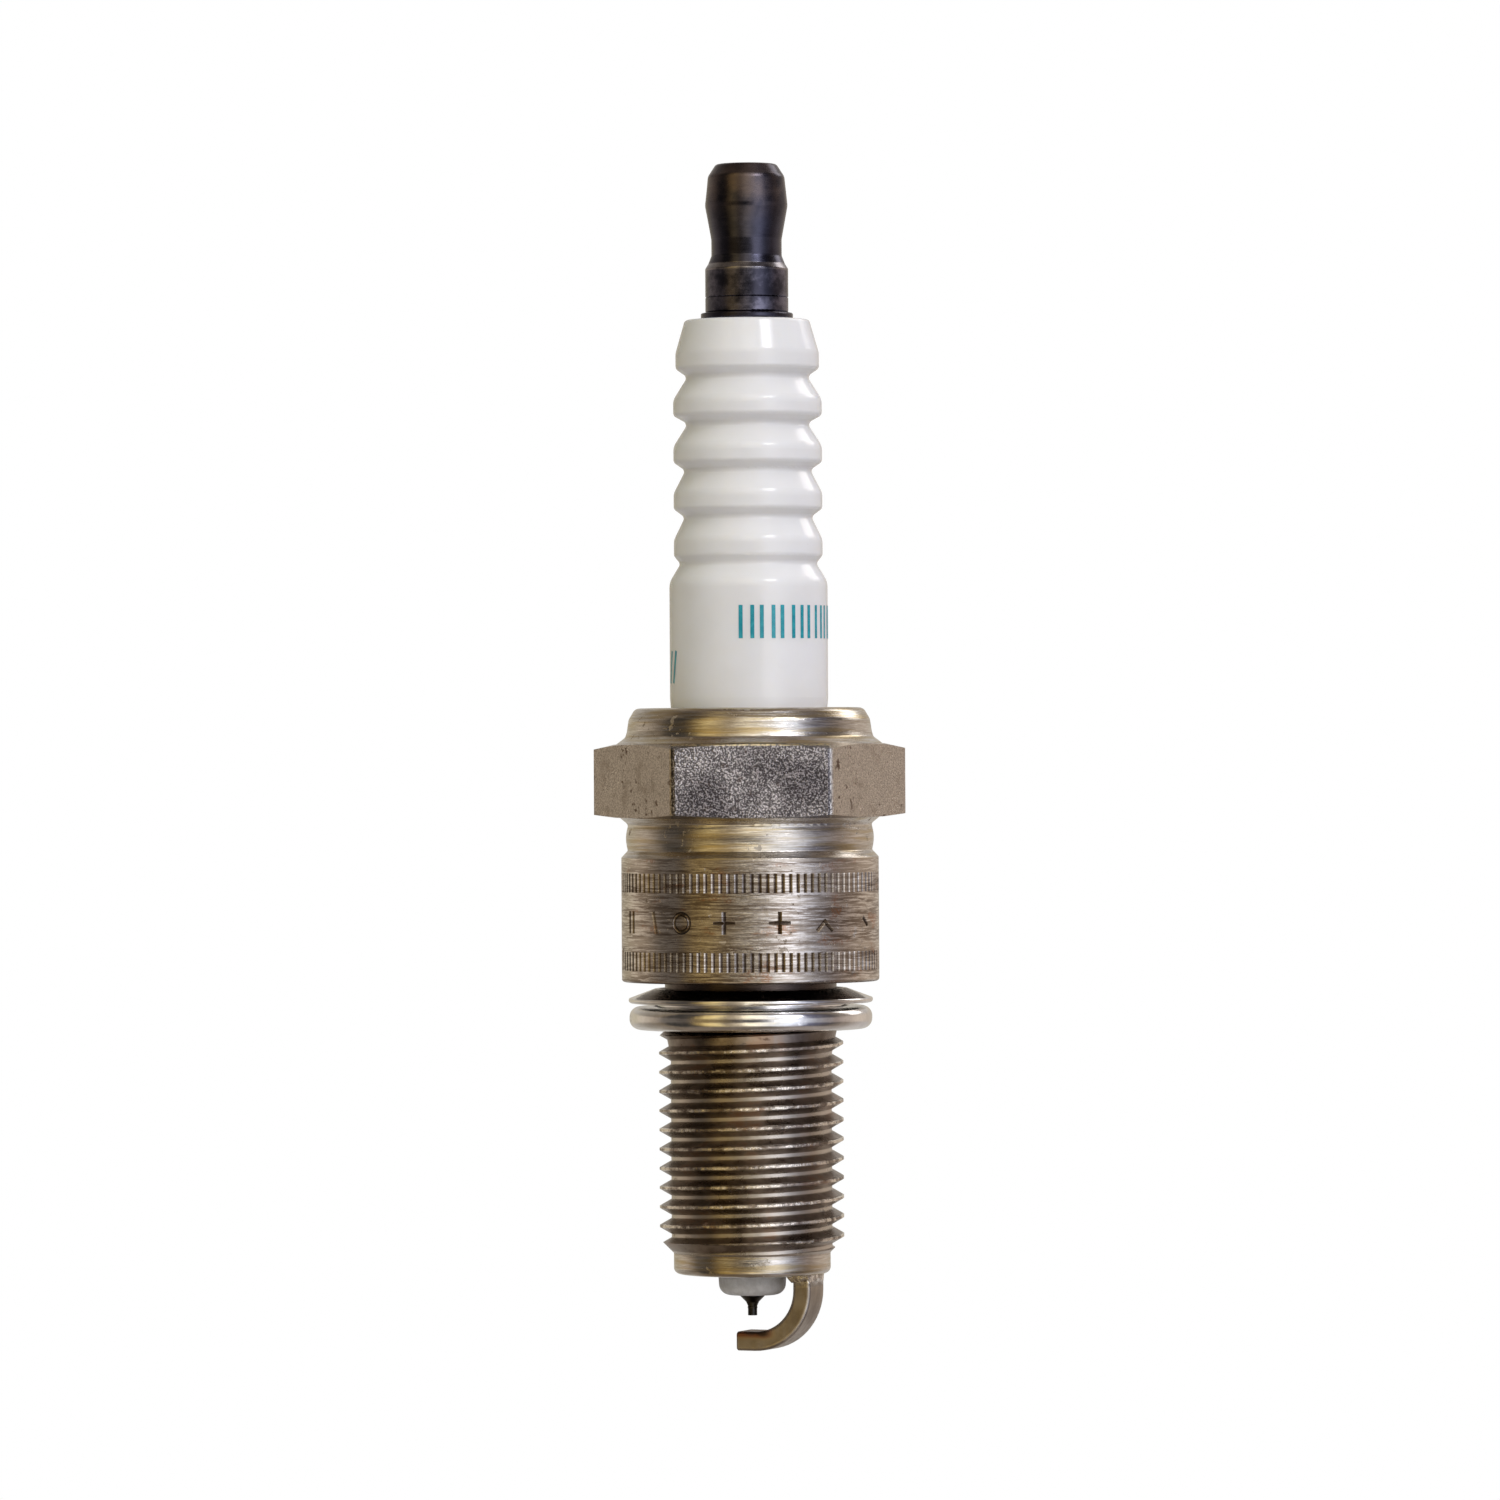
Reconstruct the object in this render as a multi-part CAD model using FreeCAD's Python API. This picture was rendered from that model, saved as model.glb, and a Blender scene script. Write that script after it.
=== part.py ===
"""Spark plug with its loose gasket and screw-on terminal nut, one STEP file per piece.

Millimetres, +Z up.  The origin is on the plug's axis, at the shell's gasket seat face.
The terminal end points up and the firing end points down.
"""
import FreeCAD
import Part

import math
import os

Vector = FreeCAD.Vector

# ---------------------------------------------------------------- driving sizes
# mounting thread (M12 x 1.25, right hand)
thread_d = 12.0
thread_pitch = 1.25
thread_reach = 19.0
# hexagon for an 18 mm plug spanner, made under size to let it slip on
hex_across_flats = 17.75
hex_bottom_z = 10.68
hex_height = 4.76
hex_corner_cut = 0.11
hex_top_chamfer_angle = 13.0
hex_bottom_chamfer_angle = 8.0
# shell
barrel_d = 16.76
barrel_top_z = 8.08
waist_d = 15.84
waist_bulge = 0.21
waist_neck = 0.45
lip_height = 2.34
lip_d = 15.96
lip_foot = 0.8
shell_end_bore_d = 7.0
ledge_d = 6.4
ledge_z = -8.6
ledge_height = 1.1
pilot_length = 1.5
gasket_gap_length = 3.2
# insulator
insulator_top_z = 43.03
insulator_body_d = 10.3
insulator_top_d = 8.1
insulator_top_corner = 0.25
insulator_flange_d = 12.9
insulator_flange_bottom_z = 4.2
insulator_flange_top_z = 9.9
insulator_stem_d = 7.7
insulator_bore_d = 4.0
glaze_step = 0.05
glaze_end_height = 0.6
rib_count = 5
rib_pitch = 3.04
rib_top_z = 40.28
rib_first_d = 9.34
rib_crest_d = 9.68
rib_groove_d = (7.8, 7.78, 8.14, 8.24, 8.84)
rib_land_above = 0.6
rib_land_below = 0.42
rib_flank_below = 0.53
rib_upper_round = 1.0
rib_lower_round = 0.35
rib_groove_round = 0.3
shoulder_drop = 1.2
shoulder_round = 1.2
nose_protrusion = 1.4
nose_tip_d = 4.26
nose_root_d = 5.9
nose_corner = 0.7
# electrodes
electrode_d = 2.3
electrode_head_d = 3.5
copper_core_d = 1.2
iridium_d = 0.6
iridium_length = 0.6
tip_protrusion = 2.75
spark_gap = 1.0
ground_width = 2.4
ground_thickness = 1.25
ground_outer_bend = 4.0
ground_leg_offset = 4.6
ground_overhang = 0.65
ground_azimuth = -25.0
# terminal end (M4 x 0.7, right hand)
terminal_thread_d = 4.0
terminal_thread_pitch = 0.7
terminal_thread_length = 8.4
terminal_nut_height = 9.68
terminal_nut_d = 5.4
terminal_foot_height = 2.86
terminal_waist_d = 4.58
terminal_washer_d = 6.0
terminal_washer_thickness = 0.4
terminal_collar_d = 5.2
terminal_collar_height = 1.2
# seals
packing_thickness = 0.35
upper_glass = (10.5, 15.0)
lower_glass_top_z = 1.5
stud_tip_z = 12.5
electrode_head_top_z = -1.6
tip_weld_height = 0.16
# gasket
gasket_height = 2.65
gasket_sheet = 0.34
gasket_width = 2.16
gasket_inner_fold = 1.15
fold_rounding = 0.11
# marks on the barrel
tick_count = 104
tick_height = 1.24
tick_width = 0.26
tick_depth = 0.085
tick_band_bottoms = (0.78, 5.86)
mark_z = 3.94
mark_height = 1.45
mark_stroke = 0.3
mark_depth = 0.12

# ---------------------------------------------------------------- clearances
running_gap = 0.1
seat_gap = 0.02
washer_gap = 0.04
thread_flank_gap = 0.058
gasket_bore_gap = 0.15
gasket_float = 0.45
insulator_gap = 0.15
ring_side_gap = 0.05
ring_head_room = 0.1
lip_mouth_gap = 0.25

# ---------------------------------------------------------------- thread form
thread_angle = 60.0
flank_slope = math.tan(math.radians(thread_angle / 2))
external_root_share = 0.61343
crest_flat_share = 0.125
pitch_line_share = 0.32476

# ---------------------------------------------------------------- derived sizes
thread_r = thread_d / 2
root_r = thread_r - external_root_share * thread_pitch
blank_r = thread_r - pitch_line_share * thread_pitch
pilot_r = root_r - 0.13
shell_end_z = -thread_reach
barrel_r = barrel_d / 2
waist_r = waist_d / 2
lip_r = lip_d / 2
hex_top_z = hex_bottom_z + hex_height
lip_top_z = hex_top_z + lip_height
insulator_body_r = insulator_body_d / 2
ground_body_r = insulator_body_r - glaze_step
insulator_flange_r = insulator_flange_d / 2
insulator_stem_r = insulator_stem_d / 2
insulator_bore_r = insulator_bore_d / 2
cavity_r = insulator_flange_r + insulator_gap
stem_bore_r = insulator_stem_r + running_gap
ledge_r = ledge_d / 2
end_bore_r = shell_end_bore_d / 2
nose_end_z = shell_end_z - nose_protrusion
tip_end_z = shell_end_z - tip_protrusion
ground_inner_z = tip_end_z - spark_gap
ground_outer_z = ground_inner_z - ground_thickness
electrode_r = electrode_d / 2
electrode_bore_r = electrode_r + 0.05
electrode_seat_z = -3.4
terminal_r = terminal_thread_d / 2
washer_bottom_z = insulator_top_z + washer_gap
washer_top_z = washer_bottom_z + terminal_washer_thickness
nut_bottom_z = washer_top_z + seat_gap
nut_top_z = nut_bottom_z + terminal_nut_height
stud_top_z = nut_bottom_z + terminal_thread_length
collar_r = terminal_collar_d / 2
collar_bottom_z = insulator_top_z - terminal_collar_height
terminal_pitch_r = terminal_r - pitch_line_share * terminal_thread_pitch
stud_groove_start_z = insulator_top_z - 0.4
# the nut's groove holds the stud's ridge, half a pitch from the stud's own groove
nut_groove_start_z = stud_groove_start_z + terminal_thread_pitch / 2
glaze_end_z = lip_top_z + 0.05
lip_mouth_r = insulator_body_r + lip_mouth_gap
lip_thickness = 1.15
# the wire rings fill the space round the ground body; the lower one rests on the flange's 45 degree cone
ring_wire_r = (cavity_r - ground_body_r) / 2 - ring_side_gap
ring_centre_r = (ground_body_r + cavity_r) / 2
flange_cone_top_z = insulator_flange_top_z + insulator_flange_r - ground_body_r
lower_ring_z = flange_cone_top_z + ground_body_r - ring_centre_r + (ring_wire_r + seat_gap) * math.sqrt(2)
upper_ring_z = lip_top_z - lip_thickness - ring_head_room - ring_wire_r


# ---------------------------------------------------------------- building blocks
def at(r, z):
    """A point in the plane y = 0."""
    return Vector(r, 0, z)


def corner_arc(before, corner, after, radius):
    """Start, middle and end of the arc that rounds one corner of an outline."""
    to_before = (before - corner).normalize()
    to_after = (after - corner).normalize()
    half = to_before.getAngle(to_after) / 2
    setback = radius / math.tan(half)
    bisector = (to_before + to_after).normalize()
    centre = corner + bisector * (radius / math.sin(half))
    start = corner + to_before * setback
    end = corner + to_after * setback
    return start, centre - bisector * radius, end


def outline(corners):
    """Closed wire through corners (r, z) or (r, z, rounding radius)."""
    points = [at(corner[0], corner[1]) for corner in corners]
    runs = []
    for index, corner in enumerate(corners):
        if len(corner) == 2:
            runs.append([points[index]])
            continue
        before = points[index - 1]
        after = points[(index + 1) % len(points)]
        runs.append(list(corner_arc(before, points[index], after, corner[2])))
    edges = []
    for index, run in enumerate(runs):
        if len(run) == 3:
            edges.append(Part.Arc(*run).toShape())
        start = run[-1]
        end = runs[(index + 1) % len(runs)][0]
        if start.distanceToPoint(end) > 1e-6:
            edges.append(Part.makeLine(start, end))
    return Part.Wire(edges)


def turned(corners):
    """Solid of revolution about the plug's axis."""
    return turned_face(Part.Face(outline(corners)))


def turned_face(face):
    return face.revolve(Vector(0, 0, 0), Vector(0, 0, 1), 360)


def helical_bar(pitch, inner_r, inner_half, outer_r, outer_half, bottom_z, top_z):
    """Helical bar of trapezoid section: half widths at an inner and an outer radius."""
    helix = Part.makeLongHelix(pitch, top_z - bottom_z, outer_r, 0, False)
    helix.translate(Vector(0, 0, bottom_z))
    section = Part.makePolygon([
        at(inner_r, bottom_z - inner_half),
        at(outer_r, bottom_z - outer_half),
        at(outer_r, bottom_z + outer_half),
        at(inner_r, bottom_z + inner_half),
        at(inner_r, bottom_z - inner_half),
    ])
    return Part.Wire(helix.Edges).makePipeShell([section], True, True)


def ring_of_wire(ring_r, z, wire_r):
    return Part.makeTorus(ring_r, wire_r, Vector(0, 0, z), Vector(0, 0, 1))


def disc(radius, bottom_z, top_z):
    return Part.makeCylinder(radius, top_z - bottom_z, Vector(0, 0, bottom_z))


def around(shape, angle):
    """The shape turned about the plug's axis."""
    turned_shape = shape.copy()
    turned_shape.rotate(Vector(0, 0, 0), Vector(0, 0, 1), angle)
    return turned_shape


# ---------------------------------------------------------------- shell
thread_bottom_z = shell_end_z + pilot_length
thread_top_z = -gasket_gap_length
seat_face_chamfer = 0.2
end_corner = 0.4
cavity_floor_z = insulator_flange_bottom_z - 0.9
stem_bore_top_z = cavity_floor_z - (cavity_r - stem_bore_r)
hex_half_flat = hex_across_flats / 2
hex_corner_r = hex_half_flat / math.cos(math.radians(30)) - hex_corner_cut


def hexagon():
    """Six flats with a shallow cone turned on both ends, from inside each flat's middle."""
    cone_start_r = hex_half_flat - 0.1
    cone_run = hex_corner_r - cone_start_r
    rise = cone_run * math.tan(math.radians(hex_bottom_chamfer_angle))
    drop = cone_run * math.tan(math.radians(hex_top_chamfer_angle))
    inside_wall_r = (cavity_r + lip_r) / 2
    blank = turned([
        (inside_wall_r, hex_bottom_z),
        (cone_start_r, hex_bottom_z),
        (hex_corner_r, hex_bottom_z + rise),
        (hex_corner_r, hex_top_z - drop),
        (cone_start_r, hex_top_z),
        (inside_wall_r, hex_top_z),
    ])
    corner_distance = hex_half_flat / math.cos(math.radians(30))
    corners = []
    for step in range(7):
        angle = math.radians(60 * step)
        x = corner_distance * math.cos(angle)
        y = corner_distance * math.sin(angle)
        corners.append(Vector(x, y, hex_bottom_z - 1))
    prism = Part.Face(Part.makePolygon(corners)).extrude(Vector(0, 0, hex_height + 2))
    return prism.common(blank)


def shell_body():
    """The turned shell with its bore, crimped lip and thread blank."""
    waist_mid_z = (hex_bottom_z + barrel_top_z) / 2
    lip_foot_z = hex_top_z + lip_foot
    outer = [
        (lip_mouth_r, lip_top_z - 0.25, 0.1),
        (lip_mouth_r + 0.45, lip_top_z, 0.3),
        (lip_r - 0.55, lip_top_z, 0.5),
        (lip_r - 0.12, lip_top_z - 0.75, 0.6),
        (lip_r, lip_foot_z, 1.0),
        (lip_r + 0.1, lip_foot_z - 0.35, 0.3),
        (lip_r + 0.7, hex_top_z),
        (lip_r + 0.7, hex_bottom_z),
        (waist_r + 0.55, hex_bottom_z),
        (waist_r, hex_bottom_z - waist_neck, 0.25),
        (waist_r + waist_bulge, waist_mid_z, 2.4),
        (waist_r + 0.04, barrel_top_z + waist_neck, 0.12),
        (barrel_r, barrel_top_z, 0.1),
        (barrel_r, 0, seat_face_chamfer),
        (blank_r, 0),
        (blank_r, thread_top_z + 0.05),
        (thread_r, thread_top_z - 0.35),
        (thread_r, thread_bottom_z + 0.75),
        (pilot_r, thread_bottom_z - 0.15),
        (pilot_r, shell_end_z, end_corner),
    ]
    inner = [
        (end_bore_r + 0.12, shell_end_z),
        (end_bore_r, shell_end_z + 0.12),
        (end_bore_r, ledge_z - ledge_height - (end_bore_r - ledge_r)),
        (ledge_r, ledge_z - ledge_height),
        (ledge_r, ledge_z),
        (stem_bore_r, ledge_z + (stem_bore_r - ledge_r)),
        (stem_bore_r, stem_bore_top_z, 0.3),
        (cavity_r, cavity_floor_z, 0.3),
        (cavity_r, lip_top_z - lip_thickness - 0.3, 0.5),
        (lip_mouth_r + 0.4, lip_top_z - lip_thickness + 0.1, 0.3),
        (lip_mouth_r, lip_top_z - lip_thickness + 0.45, 0.1),
    ]
    return turned(outer + inner)


def thread_groove():
    """The rolled groove, running out on a cone towards the gasket neck."""
    crest_r = thread_r + 0.06
    crest_half = (thread_pitch * (1 - crest_flat_share) + 2 * 0.06 * flank_slope) / 2
    root_half = crest_half - (crest_r - root_r) * flank_slope
    groove = helical_bar(
        thread_pitch, root_r, root_half, crest_r, crest_half,
        thread_bottom_z - 0.9, thread_top_z + 0.6)
    run_out = turned([
        (0, thread_top_z - 1.5 * thread_pitch),
        (root_r - 0.05, thread_top_z - 1.5 * thread_pitch),
        (blank_r, thread_top_z),
        (blank_r, 0),
        (0, 0),
    ])
    return groove.cut(run_out)


def upright_groove(length, width, depth):
    """Upright V groove in the barrel at angle zero, its middle at z = 0."""
    past = 0.1
    mouth_half = width / 2 * (1 + past / depth)
    section = Part.makePolygon([
        Vector(barrel_r - depth, 0, -length / 2),
        Vector(barrel_r + past, -mouth_half, -length / 2),
        Vector(barrel_r + past, mouth_half, -length / 2),
        Vector(barrel_r - depth, 0, -length / 2),
    ])
    return Part.Face(section).extrude(Vector(0, 0, length))


def knurl_ticks():
    """Two bands of upright ticks rolled into the barrel."""
    ticks = []
    for bottom in tick_band_bottoms:
        tick = upright_groove(tick_height, tick_width, tick_depth)
        tick.translate(Vector(0, 0, bottom + tick_height / 2))
        for step in range(tick_count):
            ticks.append(around(tick, 360 * step / tick_count))
    return ticks


def stamped_marks():
    """Generic batch marks between the bands: bars, a ring, two plus signs and a chevron."""

    def stroke(angle, length, tilt=0.0, up=0.0):
        shape = upright_groove(length, mark_stroke, mark_depth)
        shape.rotate(Vector(0, 0, 0), Vector(1, 0, 0), tilt)
        shape.translate(Vector(0, 0, mark_z + up))
        return around(shape, angle)

    def plus(angle):
        return [stroke(angle, mark_height), stroke(angle, mark_height, 90.0)]

    ring = Part.makeTorus(mark_height * 0.4, mark_stroke / 2, Vector(barrel_r, 0, mark_z), Vector(1, 0, 0))
    chevron = [stroke(-54.0, mark_height * 0.7, 45.0, -0.2), stroke(-57.6, mark_height * 0.7, -45.0, -0.2)]
    bars = [stroke(-159.0, mark_height), stroke(-155.0, mark_height), stroke(-138.0, mark_height, 12.0)]
    small_bar = [stroke(-28.3, mark_height * 0.6, 50.0)]
    return bars + [around(ring, -122.7)] + plus(-102.4) + plus(-77.7) + chevron + small_bar


def metal_shell():
    body = shell_body().fuse(hexagon())
    body = body.cut(thread_groove())
    body = body.cut(knurl_ticks() + stamped_marks())
    return body.removeSplitter()


# ---------------------------------------------------------------- ground electrode
def ground_electrode():
    """A bar with rounded edges: short leg, wide bend, then level under the tip."""
    centre_r = ground_outer_bend - ground_thickness / 2
    leg_r = ground_leg_offset - ground_thickness / 2
    bend_x = leg_r - centre_r
    bend_z = ground_outer_z + ground_outer_bend
    level_z = ground_outer_z + ground_thickness / 2
    diagonal = centre_r * math.sqrt(0.5)
    path = Part.Wire([
        Part.makeLine(at(leg_r, shell_end_z), at(leg_r, bend_z)),
        Part.Arc(
            at(leg_r, bend_z),
            at(bend_x + diagonal, bend_z - diagonal),
            at(bend_x, level_z)).toShape(),
        Part.makeLine(at(bend_x, level_z), at(-ground_overhang, level_z)),
    ])
    half_t = ground_thickness / 2
    half_w = ground_width / 2
    section = Part.makePolygon([
        Vector(leg_r - half_t, -half_w, shell_end_z),
        Vector(leg_r + half_t, -half_w, shell_end_z),
        Vector(leg_r + half_t, half_w, shell_end_z),
        Vector(leg_r - half_t, half_w, shell_end_z),
        Vector(leg_r - half_t, -half_w, shell_end_z),
    ])
    bar = path.makePipeShell([section], True, False)
    long_edges = []
    for edge in bar.Edges:
        box = edge.BoundBox
        across_bar = box.YLength > half_w
        at_root = box.ZMin > shell_end_z - 1e-3
        if not across_bar and not at_root and box.XMin > -ground_overhang - 1e-3:
            if box.XMax > -ground_overhang + 1e-3:
                long_edges.append(edge)
    bar = bar.makeFillet(0.25, long_edges)
    end_edges = [edge for edge in bar.Edges if edge.BoundBox.XMax < -ground_overhang + 1e-3]
    bar = bar.makeFillet(0.12, end_edges)
    return around(bar, ground_azimuth)


def ground_electrode_weld(leg):
    """Flash pressed out round the leg's root when it is resistance welded on."""
    half_w = ground_width / 2
    inner = ground_leg_offset - ground_thickness

    def flash_section(grow, z):
        x_low = inner - grow
        x_high = ground_leg_offset + grow / 2
        y = half_w + grow
        corners = [(x_low, -y), (x_high, -y * 0.86), (x_high, y * 0.86), (x_low, y)]
        points = [Vector(x, y_value, z) for x, y_value in corners]
        return Part.makePolygon(points + points[:1])

    flash = Part.makeLoft([
        flash_section(0.32, shell_end_z),
        flash_section(0.2, shell_end_z - 0.25),
        flash_section(0.03, shell_end_z - 0.5),
    ], True, True)
    end_disc = disc(pilot_r - end_corner, shell_end_z - 1, shell_end_z)
    return around(flash, ground_azimuth).common(end_disc).cut(leg)


# ---------------------------------------------------------------- insulator
def ribbed_top():
    """Outline corners from the insulator's top edge down over the ribs to the plain body.

    Each rib has a long sloping upper flank, a narrow upright land and a short steep lower flank.
    """
    corners = [(insulator_top_d / 2, insulator_top_z, insulator_top_corner)]
    for rib, groove_d in zip(range(rib_count), rib_groove_d):
        middle_z = rib_top_z - rib * rib_pitch
        crest_r = (rib_crest_d if rib else rib_first_d) / 2
        foot_z = middle_z - rib_land_below
        corners.append((crest_r, middle_z + rib_land_above, rib_upper_round))
        corners.append((crest_r, foot_z, rib_lower_round))
        corners.append((groove_d / 2, foot_z - rib_flank_below, rib_groove_round))
    corners.append((insulator_body_r, corners[-1][1] - shoulder_drop, shoulder_round))
    return corners


def insulator():
    nose_root_r = nose_root_d / 2
    nose_r = nose_tip_d / 2
    seat_z = ledge_z + (nose_root_r - ledge_r) + packing_thickness
    lower = [
        (insulator_body_r, glaze_end_z + glaze_end_height),
        (ground_body_r, glaze_end_z),
        (ground_body_r, flange_cone_top_z),
        (insulator_flange_r, insulator_flange_top_z),
        (insulator_flange_r, insulator_flange_bottom_z),
        (insulator_stem_r, stem_bore_top_z + 1.2),
        (insulator_stem_r, seat_z + (insulator_stem_r - nose_root_r)),
        (nose_root_r, seat_z),
        (nose_r, nose_end_z, nose_corner),
    ]
    bore = [
        (electrode_bore_r, nose_end_z),
        (electrode_bore_r, electrode_seat_z - (insulator_bore_r - electrode_bore_r)),
        (insulator_bore_r, electrode_seat_z),
        (insulator_bore_r, collar_bottom_z),
        (collar_r + running_gap, collar_bottom_z),
        (collar_r + running_gap, insulator_top_z),
    ]
    return turned(ribbed_top() + lower + bore)


# ---------------------------------------------------------------- seals between insulator and shell
def lower_packing_ring():
    """Soft steel washer pinched between the shell's ledge and the insulator."""
    inner_r = ledge_r + seat_gap
    outer_r = stem_bore_r - 0.15
    rise = outer_r - inner_r
    low_z = ledge_z + seat_gap
    high_z = low_z + packing_thickness - seat_gap
    return turned([(inner_r, low_z), (outer_r, low_z + rise), (outer_r, high_z + rise), (inner_r, high_z)])


def talc_fill():
    """Pressed powder between the two wire rings."""
    talc = turned([
        (ground_body_r, lower_ring_z),
        (cavity_r, lower_ring_z),
        (cavity_r, upper_ring_z),
        (ground_body_r, upper_ring_z),
    ])
    return talc.cut([lower_wire_ring(), upper_wire_ring()])


def lower_wire_ring():
    return ring_of_wire(ring_centre_r, lower_ring_z, ring_wire_r)


def upper_wire_ring():
    return ring_of_wire(ring_centre_r, upper_ring_z, ring_wire_r)


# ---------------------------------------------------------------- conductors in the insulator
def terminal_stud():
    """Collared stud: threaded above the insulator, knurl-free shank down to the glass."""
    crest_r = terminal_r - 0.05
    shank_r = insulator_bore_r - running_gap
    blank = turned([
        (0, stud_tip_z),
        (1.2, stud_tip_z),
        (1.5, stud_tip_z + 0.4),
        (1.5, upper_glass[1] + 1.0),
        (shank_r, upper_glass[1] + 1.4),
        (shank_r, collar_bottom_z),
        (collar_r, collar_bottom_z),
        (collar_r, insulator_top_z),
        (crest_r, insulator_top_z),
        (crest_r, stud_top_z - 0.45),
        (crest_r - 0.45, stud_top_z),
        (0, stud_top_z),
    ])
    ridge = terminal_thread_pitch / 2 - thread_flank_gap
    root = terminal_r - 0.45
    mouth = crest_r + 0.05
    half_at_root = (terminal_thread_pitch - ridge - 2 * (terminal_pitch_r - root) * flank_slope) / 2
    half_at_mouth = (terminal_thread_pitch - ridge + 2 * (mouth - terminal_pitch_r) * flank_slope) / 2
    groove = helical_bar(
        terminal_thread_pitch, root, half_at_root, mouth, half_at_mouth,
        stud_groove_start_z, stud_top_z + terminal_thread_pitch)
    keep_collar = disc(collar_r, insulator_top_z - 1, insulator_top_z)
    return blank.cut(groove.cut(keep_collar))


def upper_glass_seal():
    seal = disc(insulator_bore_r, *upper_glass)
    return seal.cut(terminal_stud_tip())


def terminal_stud_tip():
    return turned([
        (0, stud_tip_z),
        (1.2, stud_tip_z),
        (1.5, stud_tip_z + 0.4),
        (1.5, upper_glass[1] + 0.5),
        (0, upper_glass[1] + 0.5),
    ])


def resistor():
    return disc(insulator_bore_r, lower_glass_top_z, upper_glass[0])


def electrode_outline():
    head_r = electrode_head_d / 2
    cone_start_z = nose_end_z + 0.25
    tip_top_z = tip_end_z + iridium_length
    return [
        (0, tip_top_z),
        (iridium_d / 2, tip_top_z),
        (0.42, tip_top_z + 0.28, 0.3),
        (electrode_r, cone_start_z, 0.2),
        (electrode_r, electrode_seat_z - (insulator_bore_r - electrode_bore_r) - 0.05),
        (head_r, electrode_seat_z - (insulator_bore_r - head_r)),
        (head_r, electrode_head_top_z - 0.4),
        (1.0, electrode_head_top_z),
        (0, electrode_head_top_z),
    ]


def centre_electrode():
    return turned(electrode_outline()).cut(centre_electrode_core())


def centre_electrode_core():
    """Copper core, closed in by the nickel jacket."""
    return disc(copper_core_d / 2, nose_end_z + 2.0, electrode_seat_z - 0.5)


def lower_glass_seal():
    seal = turned([
        (electrode_r + 0.2, electrode_seat_z + 0.6),
        (insulator_bore_r, electrode_seat_z + 0.6),
        (insulator_bore_r, lower_glass_top_z),
        (0, lower_glass_top_z),
        (0, electrode_head_top_z - 0.2),
        (electrode_r + 0.2, electrode_head_top_z - 0.2),
    ])
    return seal.cut(turned(electrode_outline()))


def iridium_tip():
    return disc(iridium_d / 2, tip_end_z, tip_end_z + iridium_length - tip_weld_height)


def tip_weld():
    """Laser weld bead joining the fine tip to the electrode."""
    low = tip_end_z + iridium_length - tip_weld_height
    bead_r = iridium_d / 2 + 0.03
    return turned([
        (0, low),
        (iridium_d / 2, low),
        (bead_r, low + tip_weld_height / 2, 0.05),
        (iridium_d / 2, low + tip_weld_height),
        (0, low + tip_weld_height),
    ])


# ---------------------------------------------------------------- terminal nut and its washer
def terminal_nut_washer():
    outer_r = terminal_washer_d / 2
    hole_r = terminal_r + running_gap
    return turned([
        (hole_r, washer_bottom_z),
        (outer_r, washer_bottom_z, 0.1),
        (outer_r, washer_top_z, 0.1),
        (hole_r, washer_top_z),
    ])


def terminal_nut():
    """Domed terminal: plain foot, waist that a connector snaps on, head."""
    foot_r = terminal_nut_d / 2
    waist_radius = terminal_waist_d / 2
    head_r = foot_r - 0.01
    foot_top_z = nut_bottom_z + terminal_foot_height
    foot_line_z = nut_bottom_z + 1.0
    foot_line_depth = 0.05
    blank = turned([
        (0, nut_bottom_z),
        (foot_r, nut_bottom_z, 0.12),
        (foot_r, foot_line_z - foot_line_depth),
        (foot_r - foot_line_depth, foot_line_z),
        (foot_r, foot_line_z + foot_line_depth),
        (foot_r, foot_top_z, 0.15),
        (foot_r - 0.2, foot_top_z + 0.32),
        (waist_radius, foot_top_z + 0.85, 0.3),
        (waist_radius, nut_top_z - 4.9, 0.8),
        (head_r, nut_top_z - 2.7, 1.1),
        (head_r - 0.2, nut_top_z - 0.8, 0.6),
        (head_r - 0.72, nut_top_z, 0.3),
        (0, nut_top_z),
    ])
    hole_r = terminal_r - 0.35
    root = terminal_r + 0.06
    groove_width = terminal_thread_pitch / 2 + thread_flank_gap
    reach_in = hole_r - 0.05
    half_at_mouth = (groove_width + 2 * (terminal_pitch_r - reach_in) * flank_slope) / 2
    half_at_root = (groove_width - 2 * (root - terminal_pitch_r) * flank_slope) / 2
    turns_up = math.ceil(terminal_thread_length / terminal_thread_pitch) + 1
    groove = helical_bar(
        terminal_thread_pitch, reach_in, half_at_mouth, root, half_at_root,
        nut_groove_start_z, nut_groove_start_z + turns_up * terminal_thread_pitch)
    hole_top_z = nut_groove_start_z + turns_up * terminal_thread_pitch - 0.4
    ceiling_z = min(hole_top_z, nut_top_z - 0.9)
    groove = groove.common(disc(root + 1, nut_bottom_z - 2, ceiling_z))
    hole = turned([
        (0, nut_bottom_z - 1),
        (hole_r, nut_bottom_z - 1),
        (hole_r, ceiling_z),
        (0, ceiling_z + 0.2),
    ])
    entry = Part.makeCone(terminal_r + 0.15, hole_r, 0.5, Vector(0, 0, nut_bottom_z))
    return blank.cut([groove, hole, entry])


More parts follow.
